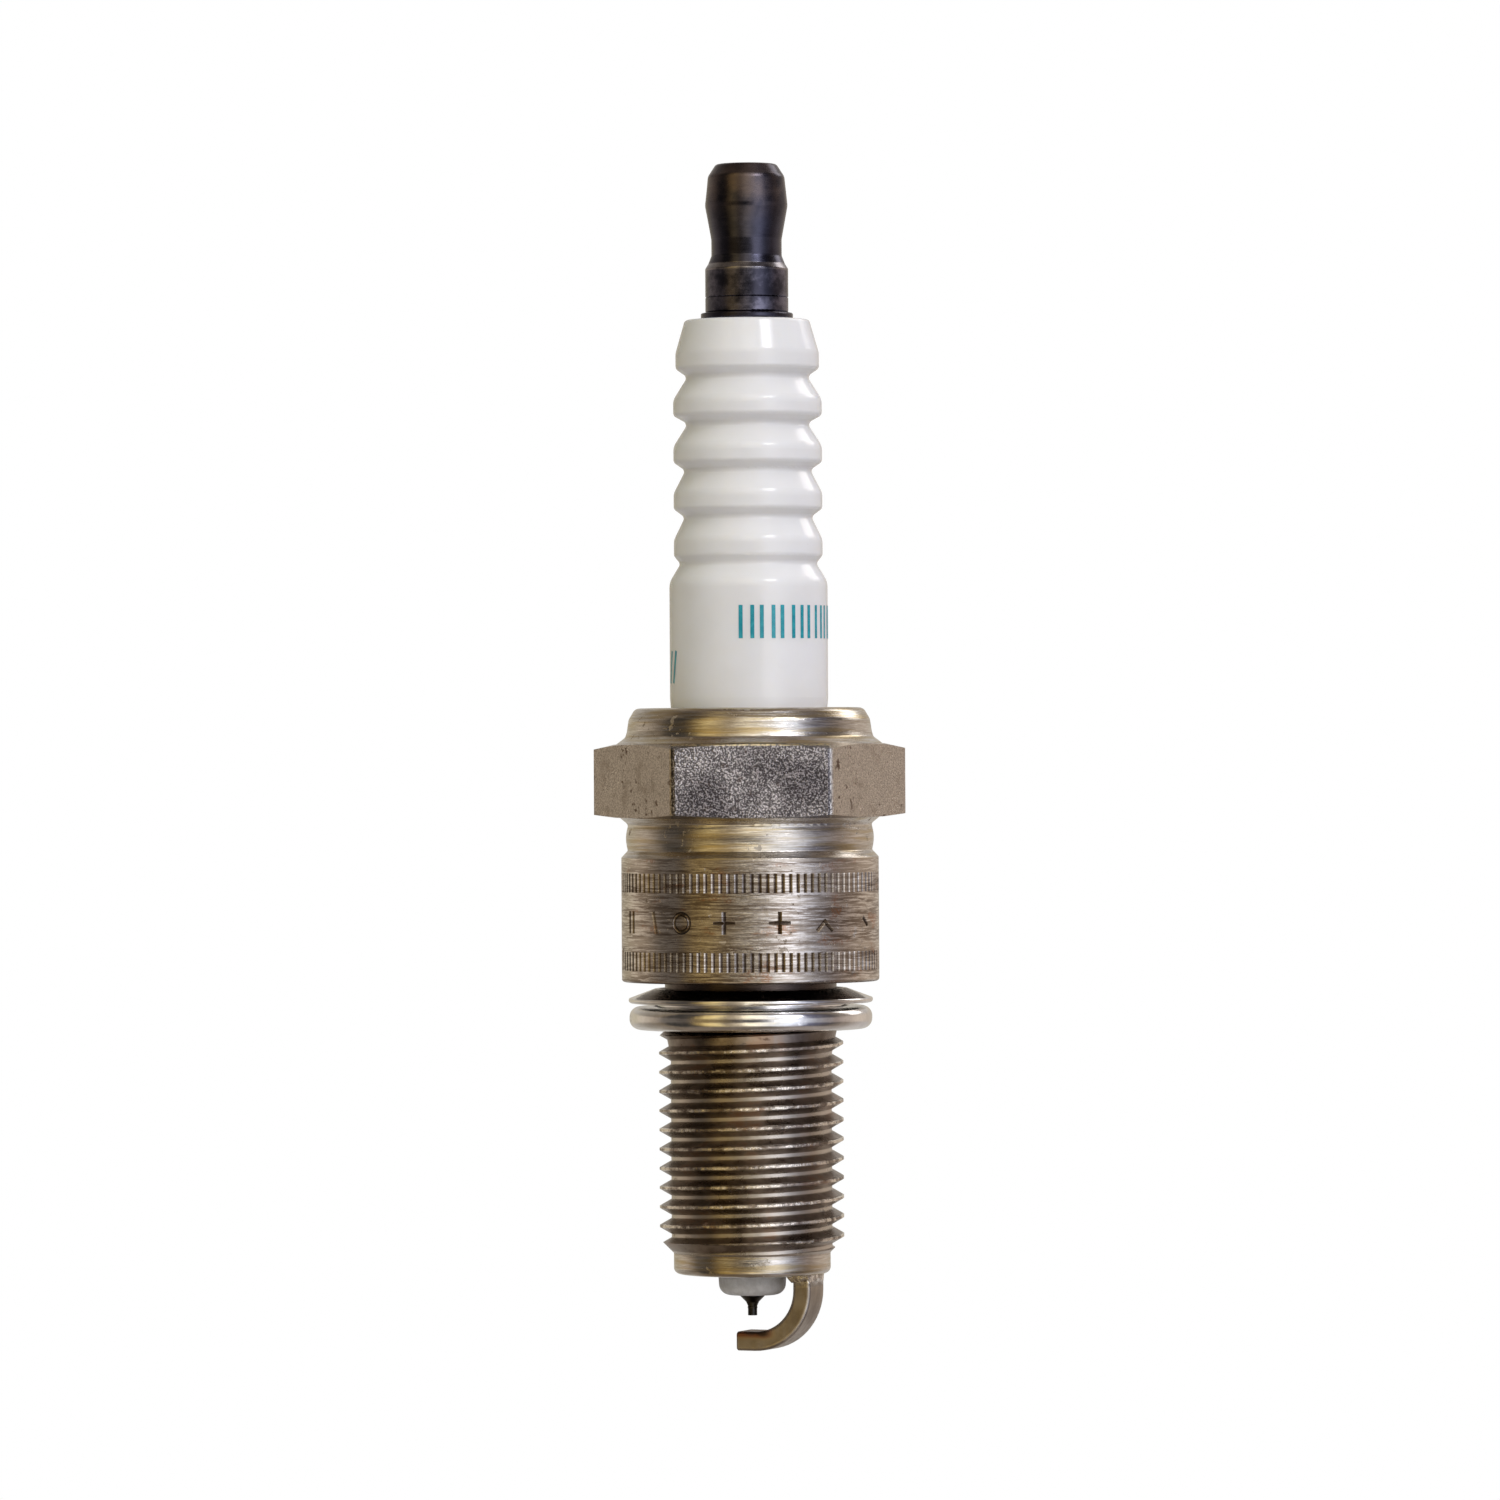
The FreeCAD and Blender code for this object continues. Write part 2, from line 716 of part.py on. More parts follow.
# ---------------------------------------------------------------- gasket
def folded_sheet(corners, bend_r, sheet):
    """Closed section of a sheet folded along the corner points."""
    points = [at(r, z) for r, z in corners]
    arcs = []
    for index in range(1, len(points) - 1):
        arcs.append(corner_arc(points[index - 1], points[index], points[index + 1], bend_r[index - 1]))
    half = sheet / 2

    def side(sign):
        lines = []
        first = (points[1] - points[0]).normalize()
        here = points[0] + Vector(-first.z, 0, first.x) * (half * sign)
        for index, (start, middle, end) in enumerate(arcs):
            circle = Part.Arc(start, middle, end).toShape().Curve
            centre = circle.Center
            moved = []
            before = (points[index + 1] - points[index]).normalize()
            normal = Vector(-before.z, 0, before.x) * sign
            turning = 1 if normal.dot(start - centre) > 0 else -1
            for point in (start, middle, end):
                outward = (point - centre).normalize()
                moved.append(point + outward * (half * turning))
            lines.append(Part.makeLine(here, moved[0]))
            lines.append(Part.Arc(*moved).toShape())
            here = moved[-1]
        last = (points[-1] - points[-2]).normalize()
        finish = points[-1] + Vector(-last.z, 0, last.x) * (half * sign)
        lines.append(Part.makeLine(here, finish))
        return lines, finish

    left, left_end = side(1)
    right, right_end = side(-1)
    first = (points[1] - points[0]).normalize()
    left_start = points[0] + Vector(-first.z, 0, first.x) * half
    right_start = points[0] - Vector(-first.z, 0, first.x) * half
    last = (points[-1] - points[-2]).normalize()
    start_cap = Part.Arc(left_start, points[0] - first * (half * 0.6), right_start).toShape()
    end_cap = Part.Arc(left_end, points[-1] + last * (half * 0.6), right_end).toShape()
    edges = Part.sortEdges(left + [end_cap] + right + [start_cap])[0]
    return Part.Wire(edges)


def gasket():
    """Folded steel ring, loose on the neck and kept on by the thread's first crest."""
    inner_r = blank_r + gasket_bore_gap
    outer_r = inner_r + gasket_width
    half = gasket_sheet / 2
    top_z = -gasket_float - half + fold_rounding
    bottom_z = -gasket_float - gasket_height + half
    inner_wall_r = inner_r + half
    outer_wall_r = outer_r - half
    fold = [
        (outer_r - 0.06, top_z - 0.72),
        (inner_wall_r, top_z),
        (inner_wall_r, bottom_z),
        (outer_wall_r, bottom_z),
        (outer_wall_r, bottom_z + gasket_inner_fold),
        (inner_wall_r + 0.55, bottom_z + gasket_inner_fold),
    ]
    return turned_face(Part.Face(folded_sheet(fold, [0.25, 0.3, 0.5, 0.5], gasket_sheet)))


# ---------------------------------------------------------------- export
def main():
    leg = ground_electrode()
    pieces = {
        "metal_shell": metal_shell(),
        "ground_electrode": leg,
        "ground_electrode_weld": ground_electrode_weld(leg),
        "gasket": gasket(),
        "insulator": insulator(),
        "lower_packing_ring": lower_packing_ring(),
        "lower_wire_ring": lower_wire_ring(),
        "talc_fill": talc_fill(),
        "upper_wire_ring": upper_wire_ring(),
        "centre_electrode": centre_electrode(),
        "centre_electrode_core": centre_electrode_core(),
        "tip_weld": tip_weld(),
        "iridium_tip": iridium_tip(),
        "lower_glass_seal": lower_glass_seal(),
        "resistor": resistor(),
        "upper_glass_seal": upper_glass_seal(),
        "terminal_stud": terminal_stud(),
        "terminal_nut_washer": terminal_nut_washer(),
        "terminal_nut": terminal_nut(),
    }
    os.makedirs("parts", exist_ok=True)
    for name, shape in pieces.items():
        solids = shape.Solids
        print(name, len(solids), round(shape.Volume, 4), shape.isValid())
        solid = solids[0] if len(solids) == 1 else shape
        solid.exportStep("parts/" + name + ".step")


main()
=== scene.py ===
import math

import bmesh
import bpy
from mathutils import Matrix, Vector


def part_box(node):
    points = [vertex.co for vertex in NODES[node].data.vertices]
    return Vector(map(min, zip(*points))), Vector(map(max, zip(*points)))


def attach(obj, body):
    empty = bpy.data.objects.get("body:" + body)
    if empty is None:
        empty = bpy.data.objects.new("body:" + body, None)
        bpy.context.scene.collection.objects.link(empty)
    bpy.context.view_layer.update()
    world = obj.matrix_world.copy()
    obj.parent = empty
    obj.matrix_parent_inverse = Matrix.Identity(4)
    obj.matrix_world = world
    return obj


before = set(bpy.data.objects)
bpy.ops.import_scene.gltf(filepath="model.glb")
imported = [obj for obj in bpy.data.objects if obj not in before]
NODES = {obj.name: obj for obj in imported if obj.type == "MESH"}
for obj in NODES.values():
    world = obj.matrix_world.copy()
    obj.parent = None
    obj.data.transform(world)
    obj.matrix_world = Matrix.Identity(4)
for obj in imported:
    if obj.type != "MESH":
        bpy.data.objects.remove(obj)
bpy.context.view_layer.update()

MM = 0.001
scene = bpy.context.scene

# ------------------------------------------------------------------ sizes of the part that the looks follow
NUT_LOW, NUT_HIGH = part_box("terminal_nut")
LEG_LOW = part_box("ground_electrode")[0]

# heights of the shell's stretches, from the gasket seat
HEX_TOP_Z = 15.44 * MM
HEX_BOTTOM_Z = 10.68 * MM
BARREL_TOP_Z = 8.08 * MM
SEAT_Z = 0.0
THREAD_TOP_Z = -3.2 * MM
PILOT_TOP_Z = -17.6 * MM
SHELL_END_Z = -19.0 * MM

# radii from the axis, and how far the front flat's corners stand to its sides
BARREL_R = 8.38 * MM
HEX_INNER_R = 8.2 * MM
HEX_OUTER_R = 8.5 * MM
HEX_CORNER_X = 5.124 * MM
CREST_R = 5.95 * MM
ROOT_R = 5.25 * MM
PRINT_R = 5.15 * MM
INK_LIFT = 0.002 * MM
INK_TOP = 0.016 * MM

# noise scales stretched so that the marks run round the axis
FINE_TURNING = (480, 480, 8200)
BROAD_TURNING = (130, 130, 2300)
STAIN_PATCHES = (420, 420, 900)


# ------------------------------------------------------------------ small helpers for shader nodes
class Shader:
    """A material under construction: methods add nodes and return their output sockets."""

    def __init__(self, name):
        self.material = bpy.data.materials.new(name)
        self.material.use_nodes = True
        self.tree = self.material.node_tree
        self.bsdf = next(n for n in self.tree.nodes if n.type == "BSDF_PRINCIPLED")

    @classmethod
    def of_world(cls, world):
        """The same methods on a world's own nodes, started empty."""
        s = cls.__new__(cls)
        s.tree = world.node_tree
        s.tree.nodes.clear()
        return s

    def add(self, kind, **settings):
        node = self.tree.nodes.new(kind)
        for key, value in settings.items():
            setattr(node, key, value)
        return node

    def plug(self, socket, value):
        if isinstance(value, bpy.types.NodeSocket):
            self.tree.links.new(value, socket)
        else:
            socket.default_value = value

    def set(self, **values):
        for key, value in values.items():
            self.plug(self.bsdf.inputs[key.replace("_", " ")], value)

    def math(self, operation, *values):
        node = self.add("ShaderNodeMath", operation=operation)
        for socket, value in zip(node.inputs, values):
            self.plug(socket, value)
        return node.outputs[0]

    def position(self):
        return self.add("ShaderNodeTexCoord").outputs["Object"]

    def split(self, vector):
        node = self.add("ShaderNodeSeparateXYZ")
        self.plug(node.inputs[0], vector)
        return node.outputs

    def stretched(self, vector, scale):
        node = self.add("ShaderNodeMapping")
        self.plug(node.inputs["Vector"], vector)
        node.inputs["Scale"].default_value = scale
        return node.outputs[0]

    def noise(self, vector, scale, detail, roughness):
        node = self.add("ShaderNodeTexNoise")
        self.plug(node.inputs["Vector"], vector)
        node.inputs["Scale"].default_value = scale
        node.inputs["Detail"].default_value = detail
        node.inputs["Roughness"].default_value = roughness
        return node.outputs["Fac"]

    def span(self, value, low, high, to_low=0.0, to_high=1.0):
        node = self.add("ShaderNodeMapRange", interpolation_type="SMOOTHSTEP")
        for socket, number in zip(node.inputs[:5], (value, low, high, to_low, to_high)):
            self.plug(socket, number)
        return node.outputs[0]

    def band(self, value, low, high, soft):
        """1 between low and high, falling to 0 over soft on each side."""
        rise = self.span(value, low - soft, low + soft)
        fall = self.span(value, high - soft, high + soft, 1.0, 0.0)
        return self.math("MULTIPLY", rise, fall)

    def ramp(self, value, stops):
        node = self.add("ShaderNodeValToRGB")
        self.plug(node.inputs[0], value)
        elements = node.color_ramp.elements
        while len(elements) > 1:
            elements.remove(elements[0])
        for k, (place, colour) in enumerate(stops):
            element = elements[0] if k == 0 else elements.new(place)
            element.position = place
            element.color = (*colour, 1.0)
        return node.outputs[0]

    def mix(self, factor, a, b, blend="MIX"):
        """Colours a to b by factor, or b laid on a by another blend."""
        node = self.add("ShaderNodeMix", data_type="RGBA", blend_type=blend)
        for socket, value in zip((node.inputs[0], node.inputs[6], node.inputs[7]), (factor, a, b)):
            if isinstance(value, tuple) and len(value) == 3:
                value = (*value, 1.0)
            self.plug(socket, value)
        return node.outputs[2]

    def blend(self, factor, a, b):
        """Numbers a to b by factor."""
        node = self.add("ShaderNodeMix", data_type="FLOAT")
        for socket, value in zip((node.inputs[0], node.inputs[2], node.inputs[3]), (factor, a, b)):
            self.plug(socket, value)
        return node.outputs[0]

    def bump(self, height, distance, strength=1.0, normal=None):
        node = self.add("ShaderNodeBump")
        node.inputs["Strength"].default_value = strength
        node.inputs["Distance"].default_value = distance
        self.plug(node.inputs["Height"], height)
        if normal is not None:
            self.plug(node.inputs["Normal"], normal)
        return node.outputs[0]

    def radius(self, x, y):
        return self.math("SQRT", self.math("ADD", self.math("MULTIPLY", x, x), self.math("MULTIPLY", y, y)))


# ------------------------------------------------------------------ materials
def nickel_steel():
    """Plated steel of the shell: one surface whose finish changes with height and radius."""
    s = Shader("nickel_plated_steel_look")
    place = s.position()
    x, y, z = s.split(place)
    r = s.radius(x, y)

    on_hex = s.math("MULTIPLY", s.band(z, HEX_BOTTOM_Z - 0.02 * MM, HEX_TOP_Z + 0.02 * MM, 0.03 * MM),
                    s.span(r, HEX_INNER_R, HEX_OUTER_R))
    on_barrel = s.band(z, SEAT_Z - 0.3 * MM, BARREL_TOP_Z - 0.05 * MM, 0.1 * MM)
    on_thread = s.band(z, PILOT_TOP_Z - 0.1 * MM, THREAD_TOP_Z, 0.1 * MM)
    on_neck = s.band(z, THREAD_TOP_Z, SEAT_Z - 0.02 * MM, 0.1 * MM)

    # turning marks run round the axis: streaks of several lengths and heights
    streaks = s.noise(s.stretched(place, FINE_TURNING), 1.0, 5.0, 0.70)
    broad = s.noise(s.stretched(place, BROAD_TURNING), 1.0, 3.0, 0.6)
    blotch = s.noise(place, 420.0, 5.0, 0.6)
    grain = s.noise(place, 9500.0, 2.5, 0.62)

    clean = s.mix(s.span(streaks, 0.34, 0.66), (0.52, 0.475, 0.41), (0.80, 0.775, 0.74))
    clean = s.mix(s.span(broad, 0.48, 0.64), clean, (0.56, 0.47, 0.31))
    barrel_tone_and_shade = s.mix(s.span(broad, 0.40, 0.60), (0.26, 0.21, 0.17), (0.52, 0.465, 0.405))
    barrel_tone_and_shade = s.mix(s.math("MULTIPLY", s.span(streaks, 0.46, 0.60), 0.85), barrel_tone_and_shade, (0.90, 0.86, 0.82))
    patches = s.noise(s.stretched(place, STAIN_PATCHES), 1.0, 4.0, 0.6)
    stain = s.math("MULTIPLY", s.span(patches, 0.56, 0.68), s.span(grain, 0.36, 0.58))
    barrel_tone_and_shade = s.mix(s.math("MULTIPLY", stain, 0.75), barrel_tone_and_shade, (0.42, 0.20, 0.095))
    # painted shade: the bottoms of the rolled ticks and stamped marks are coloured near black
    groove_shade = s.span(r, BARREL_R - 0.015 * MM, BARREL_R - 0.065 * MM)
    barrel_tone_and_shade = s.mix(s.math("MULTIPLY", groove_shade, 0.8), barrel_tone_and_shade, (0.075, 0.05, 0.035))
    colour = s.mix(on_barrel, clean, barrel_tone_and_shade)

    # hexagon: cool granular plate with a few rust specks
    speck = s.math("MULTIPLY", s.span(s.noise(place, 1900.0, 3.0, 0.6), 0.59, 0.66),
                   s.span(s.noise(place, 330.0, 2.0, 0.5), 0.44, 0.56))
    shade = s.span(s.noise(place, 260.0, 2.0, 0.5), 0.38, 0.62)
    dark = s.mix(shade, (0.055, 0.052, 0.060), (0.125, 0.120, 0.133))
    grey = s.mix(s.span(grain, 0.44, 0.68), dark, s.mix(shade, (0.44, 0.42, 0.465), (0.80, 0.78, 0.84)))
    # painted reflection: the slanted flats are coloured warmer and lighter than the cool front and back
    # flats; smudges on them
    slanted_flats = s.span(s.math("ABSOLUTE", x), HEX_CORNER_X - 0.03 * MM, HEX_CORNER_X + 0.03 * MM)
    side_flat_reflection_and_smudge = s.mix(s.span(grain, 0.34, 0.66), (0.47, 0.415, 0.36), (0.84, 0.765, 0.68))
    smudge = s.span(s.noise(place, 900.0, 4.0, 0.65), 0.52, 0.68)
    side_flat_reflection_and_smudge = s.mix(s.math("MULTIPLY", smudge, 0.45), side_flat_reflection_and_smudge, (0.33, 0.26, 0.20))
    grey = s.mix(slanted_flats, grey, side_flat_reflection_and_smudge)
    # painted light on the hexagon: a white highlight along the right corners of the front and back flats, a
    # dark shade line along the left corners, and a golden highlight under the top edge of those flats
    ragged = s.span(s.noise(place, 2600.0, 4.0, 0.7), 0.38, 0.56)
    left_corner_shade = s.band(x, -HEX_CORNER_X - 0.02 * MM, -HEX_CORNER_X + 0.10 * MM, 0.03 * MM)
    right_corner_highlight = s.band(x, HEX_CORNER_X - 0.10 * MM, HEX_CORNER_X + 0.02 * MM, 0.03 * MM)
    top_edge_highlight = s.math("MULTIPLY", s.span(z, HEX_TOP_Z - 0.16 * MM, HEX_TOP_Z - 0.10 * MM),
                      s.math("SUBTRACT", 1.0, slanted_flats))
    grey = s.mix(s.math("MULTIPLY", right_corner_highlight, ragged), grey, (1.0, 0.98, 0.95))
    grey = s.mix(s.math("MULTIPLY", left_corner_shade, ragged), grey, (0.03, 0.025, 0.025))
    grey = s.mix(s.math("MULTIPLY", top_edge_highlight, ragged), grey, (1.0, 0.88, 0.60))
    hexed = s.mix(s.math("MULTIPLY", speck, s.blend(slanted_flats, 0.25, 0.85)), grey, (0.15, 0.085, 0.05))
    colour = s.mix(on_hex, colour, hexed)

    # thread: brown flanks; painted highlights: a bright broken line on each crest and a lighter line in each
    # root
    crest = s.math("MULTIPLY", s.span(r, CREST_R - 0.10 * MM, CREST_R - 0.01 * MM), on_thread)
    root = s.math("MULTIPLY", s.span(r, ROOT_R + 0.09 * MM, ROOT_R + 0.02 * MM), on_thread)
    broken = s.span(s.noise(s.stretched(place, (800, 800, 1100)), 1.0, 4.0, 0.7), 0.42, 0.58)
    flank = s.mix(s.span(blotch, 0.38, 0.62), (0.20, 0.16, 0.13), (0.40, 0.345, 0.305))
    flank = s.mix(s.math("MULTIPLY", s.span(blotch, 0.56, 0.66), 0.45), flank, (0.40, 0.23, 0.13))
    bright = s.math("MAXIMUM", s.math("MULTIPLY", crest, broken), s.math("MULTIPLY", root, 0.45))
    flank = s.mix(bright, flank, (0.98, 0.93, 0.84))
    colour = s.mix(on_thread, colour, flank)
    # painted shade: the neck between the thread and the seat, under the gasket, is coloured near black
    colour = s.mix(on_neck, colour, (0.10, 0.08, 0.07))

    rough = s.blend(on_barrel, s.span(broad, 0.3, 0.7, 0.15, 0.24), s.span(streaks, 0.3, 0.7, 0.27, 0.20))
    rough = s.blend(on_hex, rough, s.span(blotch, 0.3, 0.7, 0.26, 0.34))
    rough = s.blend(on_thread, rough, s.blend(crest, s.span(blotch, 0.3, 0.7, 0.24, 0.36), 0.20))
    rough = s.math("MAXIMUM", rough, s.math("MULTIPLY", speck, 0.7))

    turned_marks = s.bump(streaks, 0.030 * MM, 0.55)
    turned_marks = s.bump(broad, 0.05 * MM, 0.35, turned_marks)
    granules = s.math("MULTIPLY", grain, on_hex)
    normal = s.bump(granules, 0.055 * MM, 1.0, turned_marks)
    nicks = s.math("MULTIPLY", s.noise(place, 2600.0, 4.0, 0.6), crest)
    normal = s.bump(nicks, 0.12 * MM, 0.8, normal)

    s.set(Base_Color=colour, Metallic=1.0, Roughness=rough, Normal=normal)
    return s.material


def glazed_ceramic():
    """White glazed alumina above the shell, bare grey ceramic at the nose."""
    s = Shader("glazed_alumina_look")
    place = s.position()
    z = s.split(place)["Z"]
    glazed = s.span(z, 16.5 * MM, 18.0 * MM)
    cloud = s.noise(place, 260.0, 4.0, 0.5)
    speck = s.span(s.noise(place, 5200.0, 2.0, 0.5), 0.76, 0.80)
    white = s.mix(s.span(cloud, 0.3, 0.7), (0.87, 0.862, 0.852), (0.90, 0.895, 0.895))
    white = s.mix(s.math("MULTIPLY", speck, 0.25), white, (0.55, 0.50, 0.42))
    bare = s.mix(s.span(s.noise(place, 2400.0, 5.0, 0.6), 0.3, 0.7), (0.56, 0.54, 0.51), (0.70, 0.685, 0.66))
    colour = s.mix(glazed, bare, white)
    rough = s.blend(glazed, 0.75, s.span(cloud, 0.3, 0.7, 0.07, 0.12))
    ripple = s.bump(s.noise(s.stretched(place, (300, 300, 420)), 1.0, 2.0, 0.4), 0.03 * MM, 0.35)
    pores = s.math("MULTIPLY", s.noise(place, 9000.0, 3.0, 0.6), s.math("SUBTRACT", 1.0, glazed))
    normal = s.bump(pores, 0.02 * MM, 0.6, ripple)
    s.set(Base_Color=colour, Roughness=rough, Normal=normal, IOR=1.56, Specular_IOR_Level=0.5,
          Subsurface_Weight=0.35, Subsurface_Radius=(1.0, 0.92, 0.80), Subsurface_Scale=0.9 * MM)
    return s.material


def black_terminal():
    """Black-plated terminal nut: glossy, faint turning rings; browner towards the top, bluer at the foot,
    lighter grey on a band at the shoulder.
    """
    s = Shader("plated_terminal_look")
    place = s.position()
    z = s.split(place)["Z"]
    rings = s.noise(s.stretched(place, (220, 220, 9000)), 1.0, 3.0, 0.6)
    cloud = s.noise(place, 520.0, 5.0, 0.6)
    browned = s.math("MULTIPLY", s.span(z, NUT_HIGH.z - 4.2 * MM, NUT_HIGH.z - 1.5 * MM),
                     s.span(cloud, 0.3, 0.65))
    dark = s.mix(s.span(cloud, 0.3, 0.7), (0.045, 0.045, 0.064), (0.085, 0.085, 0.122))
    colour = s.mix(s.math("MULTIPLY", browned, 0.8), dark, (0.165, 0.132, 0.128))
    foot = s.band(z, NUT_LOW.z, NUT_LOW.z + 2.9 * MM, 0.1 * MM)
    colour = s.mix(s.math("MULTIPLY", foot, s.span(cloud, 0.42, 0.62)), colour, (0.20, 0.195, 0.26))
    shoulder = s.band(z, NUT_LOW.z + 2.75 * MM, NUT_LOW.z + 3.2 * MM, 0.06 * MM)
    colour = s.mix(s.math("MULTIPLY", shoulder, s.span(cloud, 0.3, 0.6)), colour, (0.34, 0.33, 0.36))
    rough = s.math("ADD", s.span(cloud, 0.3, 0.7, 0.20, 0.30), s.span(rings, 0.3, 0.7, -0.03, 0.05))
    normal = s.bump(rings, 0.006 * MM, 0.4)
    normal = s.bump(s.noise(place, 2600.0, 4.0, 0.6), 0.01 * MM, 0.5, normal)
    s.set(Base_Color=colour, Metallic=1.0, Roughness=rough, Normal=normal)
    return s.material


def gasket_metal():
    """Bright plated gasket with turning marks and shallow dents."""
    s = Shader("gasket_steel_look")
    place = s.position()
    rings = s.noise(s.stretched(place, (240, 240, 5200)), 1.0, 3.0, 0.6)
    cloud = s.noise(place, 480.0, 4.0, 0.6)
    colour = s.mix(s.span(cloud, 0.3, 0.7), (0.76, 0.755, 0.75), (0.97, 0.965, 0.96))
    colour = s.mix(s.span(rings, 0.62, 0.75), colour, (0.50, 0.47, 0.40))
    rough = s.span(cloud, 0.3, 0.7, 0.10, 0.18)
    normal = s.bump(rings, 0.02 * MM, 0.5)
    normal = s.bump(cloud, 0.06 * MM, 0.35, normal)
    s.set(Base_Color=colour, Metallic=1.0, Roughness=rough, Normal=normal)
    return s.material


def nickel_alloy():
    """Ground electrode: brown-grey drawn bar, heat tint near its free end."""
    s = Shader("nickel_alloy_look")
    place = s.position()
    x, _, z = s.split(place)
    cloud = s.noise(place, 700.0, 5.0, 0.6)
    drawn = s.noise(s.stretched(place, (2200, 2200, 900)), 1.0, 4.0, 0.6)
    colour = s.mix(s.span(cloud, 0.3, 0.7), (0.36, 0.315, 0.27), (0.52, 0.475, 0.425))
    # weld spatter near the shell end: lumps in the bump below, and near-white colour as painted glints on
    # them
    spatter_and_glint = s.math("MULTIPLY", s.span(z, SHELL_END_Z - 0.75 * MM, SHELL_END_Z - 0.35 * MM),
                     s.span(s.noise(place, 1900.0, 4.0, 0.7), 0.44, 0.56))
    colour = s.mix(spatter_and_glint, colour, (0.90, 0.87, 0.83))
    heat = s.math("MULTIPLY", s.span(z, LEG_LOW.z + 0.55 * MM, LEG_LOW.z + 1.15 * MM),
                  s.math("MULTIPLY", s.span(x, 1.8 * MM, 0.6 * MM),
                         s.span(z, LEG_LOW.z + 2.4 * MM, LEG_LOW.z + 1.2 * MM)))
    tint = s.ramp(s.math("MULTIPLY", heat, s.span(cloud, 0.2, 0.8, 0.7, 1.2)),
                  [(0.0, (0.48, 0.42, 0.36)), (0.35, (0.60, 0.42, 0.20)),
                   (0.7, (0.34, 0.13, 0.06)), (1.0, (0.10, 0.06, 0.045))])
    colour = s.mix(heat, colour, tint)
    rough = s.span(drawn, 0.3, 0.7, 0.32, 0.48)
    rough = s.blend(spatter_and_glint, rough, 0.22)
    normal = s.bump(drawn, 0.012 * MM, 0.6)
    lumps = s.math("MULTIPLY", s.noise(place, 1500.0, 4.0, 0.6),
                   s.span(z, SHELL_END_Z - 0.8 * MM, SHELL_END_Z - 0.4 * MM))
    normal = s.bump(lumps, 0.25 * MM, 0.8, normal)
    s.set(Base_Color=colour, Metallic=1.0, Roughness=rough, Normal=normal)
    return s.material


def plain_metal(name, low, high, rough, grain=1800.0):
    """A quiet metal or compound for pieces that sit inside or show only a little."""
    s = Shader(name)
    place = s.position()
    cloud = s.noise(place, 600.0, 4.0, 0.6)
    fine = s.noise(place, grain, 4.0, 0.6)
    s.set(Base_Color=s.mix(s.span(cloud, 0.3, 0.7), low, high), Metallic=1.0,
          Roughness=s.span(fine, 0.3, 0.7, rough - 0.06, rough + 0.08), Normal=s.bump(fine, 0.01 * MM, 0.5))
    return s.material


def mineral(name, low, high, rough, grain):
    """Fired or pressed powder, for the pieces inside the ceramic."""
    s = Shader(name)
    place = s.position()
    fine = s.noise(place, grain, 5.0, 0.65)
    s.set(Base_Color=s.mix(s.span(fine, 0.3, 0.7), low, high),
          Roughness=s.span(fine, 0.3, 0.7, rough - 0.08, rough + 0.08), Normal=s.bump(fine, 0.03 * MM, 0.6))
    return s.material


def ink():
    """Teal print lying on the glaze, a little patchy."""
    s = Shader("teal_print_look")
    place = s.position()
    patch = s.noise(place, 2600.0, 4.0, 0.6)
    s.set(Base_Color=s.mix(s.span(patch, 0.3, 0.7), (0.010, 0.27, 0.34), (0.03, 0.38, 0.45)),
          Roughness=s.span(patch, 0.3, 0.7, 0.16, 0.26), Normal=s.bump(patch, 0.003 * MM, 0.5))
    return s.material


SHELL = nickel_steel()
CERAMIC = glazed_ceramic()
TERMINAL = black_terminal()
GASKET = gasket_metal()
ALLOY = nickel_alloy()
DARK_ALLOY = plain_metal("burnt_nickel_look", (0.035, 0.033, 0.028), (0.075, 0.068, 0.058), 0.38)
IRIDIUM = plain_metal("iridium_look", (0.03, 0.03, 0.03), (0.06, 0.058, 0.055), 0.30)
COPPER = plain_metal("copper_look", (0.60, 0.27, 0.16), (0.75, 0.38, 0.24), 0.35)
STEEL = plain_metal("soft_steel_look", (0.42, 0.41, 0.40), (0.58, 0.57, 0.55), 0.32)
GLASS = mineral("seal_glass_look", (0.05, 0.05, 0.055), (0.11, 0.10, 0.10), 0.30, 1600.0)
COMPOUND = mineral("resistor_compound_look", (0.03, 0.03, 0.03), (0.07, 0.065, 0.06), 0.75, 3000.0)
TALC = mineral("talc_look", (0.62, 0.60, 0.56), (0.74, 0.72, 0.68), 0.85, 2600.0)
INK = ink()

LOOKS = {
    "metal_shell": SHELL, "ground_electrode": ALLOY, "ground_electrode_weld": ALLOY, "gasket": GASKET,
    "insulator": CERAMIC, "lower_packing_ring": STEEL, "lower_wire_ring": STEEL, "upper_wire_ring": STEEL,
    "talc_fill": TALC, "centre_electrode": DARK_ALLOY, "centre_electrode_core": COPPER,
    "tip_weld": DARK_ALLOY, "iridium_tip": IRIDIUM, "lower_glass_seal": GLASS, "upper_glass_seal": GLASS,
    "resistor": COMPOUND,
    "terminal_stud": STEEL, "terminal_nut_washer": TERMINAL, "terminal_nut": TERMINAL,
}
for name, node in NODES.items():
    node.data.materials[0] = LOOKS[name]


